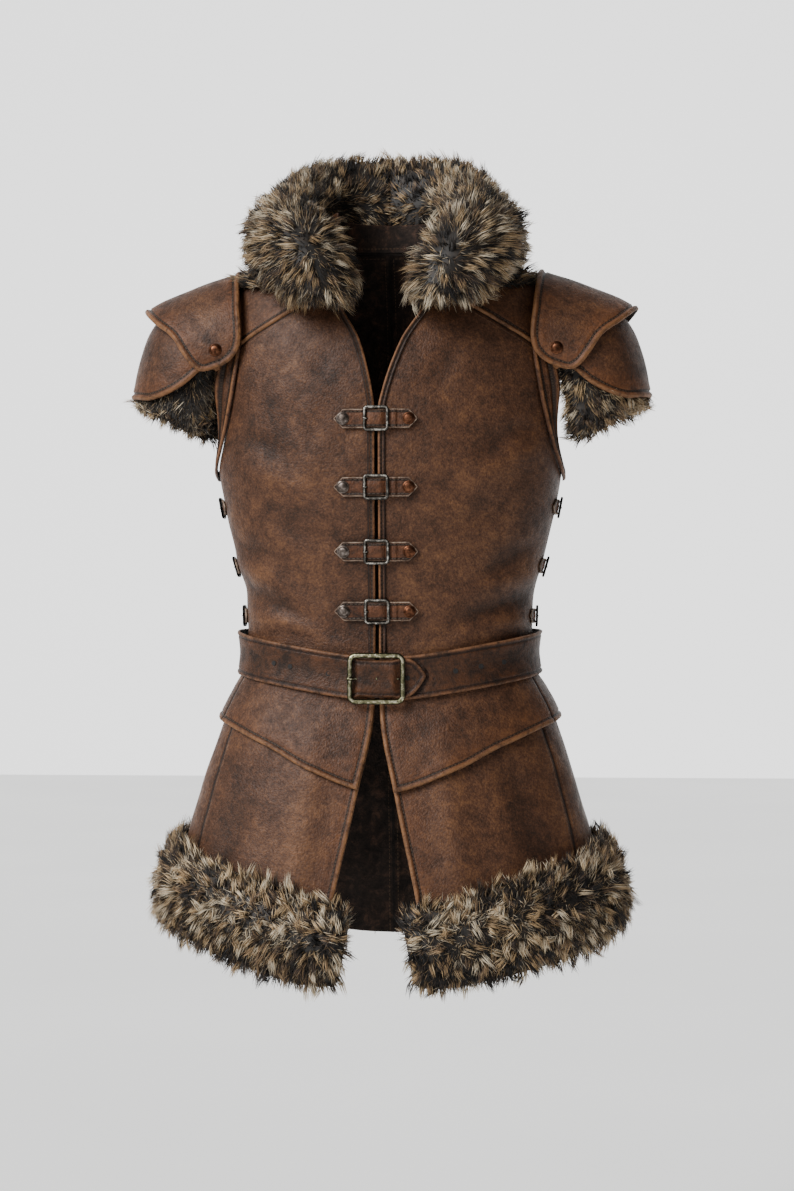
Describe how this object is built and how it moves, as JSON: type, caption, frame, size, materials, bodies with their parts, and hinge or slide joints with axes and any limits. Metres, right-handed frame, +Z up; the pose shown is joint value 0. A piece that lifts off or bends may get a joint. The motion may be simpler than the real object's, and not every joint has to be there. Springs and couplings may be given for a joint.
{
  "type": "leather costume vest",
  "caption": "Sleeveless leather costume vest with fur collar and hem, layered shoulder caps, buckled front straps and a waist belt, kept in worn form with no wearer.",
  "frame": {"origin": "middle of the neck opening at the height where the neck meets the shoulders, where the vest hangs on its wearer", "axes": "+Z up along the wearer's spine, -Y to the vest's front, +X to the wearer's left"},
  "size_m": [0.6216, 0.3789, 0.9805],
  "materials": {
    "leather": "worn, waxed brown leather",
    "trim": "darker edge-stained strap leather",
    "fur": "long tan, grey-brown and black fur",
    "steel": "dull aged steel",
    "brass": "aged, greenish-grey brass",
    "copper": "dark copper-brown rivet"
  },
  "bodies": {
    "root": {"front_right": "leather", "back_right": "leather", "yoke_right": "leather", "skirt_front_right": "leather", "skirt_back_right": "leather", "peplum_front_right": "leather", "peplum_back_right": "leather", "front_binding_right": "trim", "armhole_binding_right": "trim", "cap_upper_right": "leather", "cap_lower_right": "leather", "fur_sleeve_right": "fur", "cap_rivet_right": "copper", "fur_hem_right": "fur", "fur_collar_right": "fur", "side_strap_right_1": "trim", "side_buckle_right_1": "steel", "side_strap_right_2": "trim", "side_buckle_right_2": "steel", "side_strap_right_3": "trim", "side_buckle_right_3": "steel", "front_left": "leather", "back_left": "leather", "yoke_left": "leather", "skirt_front_left": "leather", "skirt_back_left": "leather", "peplum_front_left": "leather", "peplum_back_left": "leather", "front_binding_left": "trim", "armhole_binding_left": "trim", "cap_upper_left": "leather", "cap_lower_left": "leather", "fur_sleeve_left": "fur", "cap_rivet_left": "copper", "fur_hem_left": "fur", "fur_collar_left": "fur", "side_strap_left_1": "trim", "side_buckle_left_1": "steel", "side_strap_left_2": "trim", "side_buckle_left_2": "steel", "side_strap_left_3": "trim", "side_buckle_left_3": "steel", "collar_band": "leather", "belt": "trim", "belt_buckle": "brass", "belt_prong": "brass", "closure_1_tab_right": "trim", "closure_1_tab_left": "trim", "closure_1_buckle": "steel", "closure_2_tab_right": "trim", "closure_2_tab_left": "trim", "closure_2_buckle": "steel", "closure_3_tab_right": "trim", "closure_3_tab_left": "trim", "closure_3_buckle": "steel", "closure_4_tab_right": "trim", "closure_4_tab_left": "trim", "closure_4_buckle": "steel"}
  },
  "joints": []
}
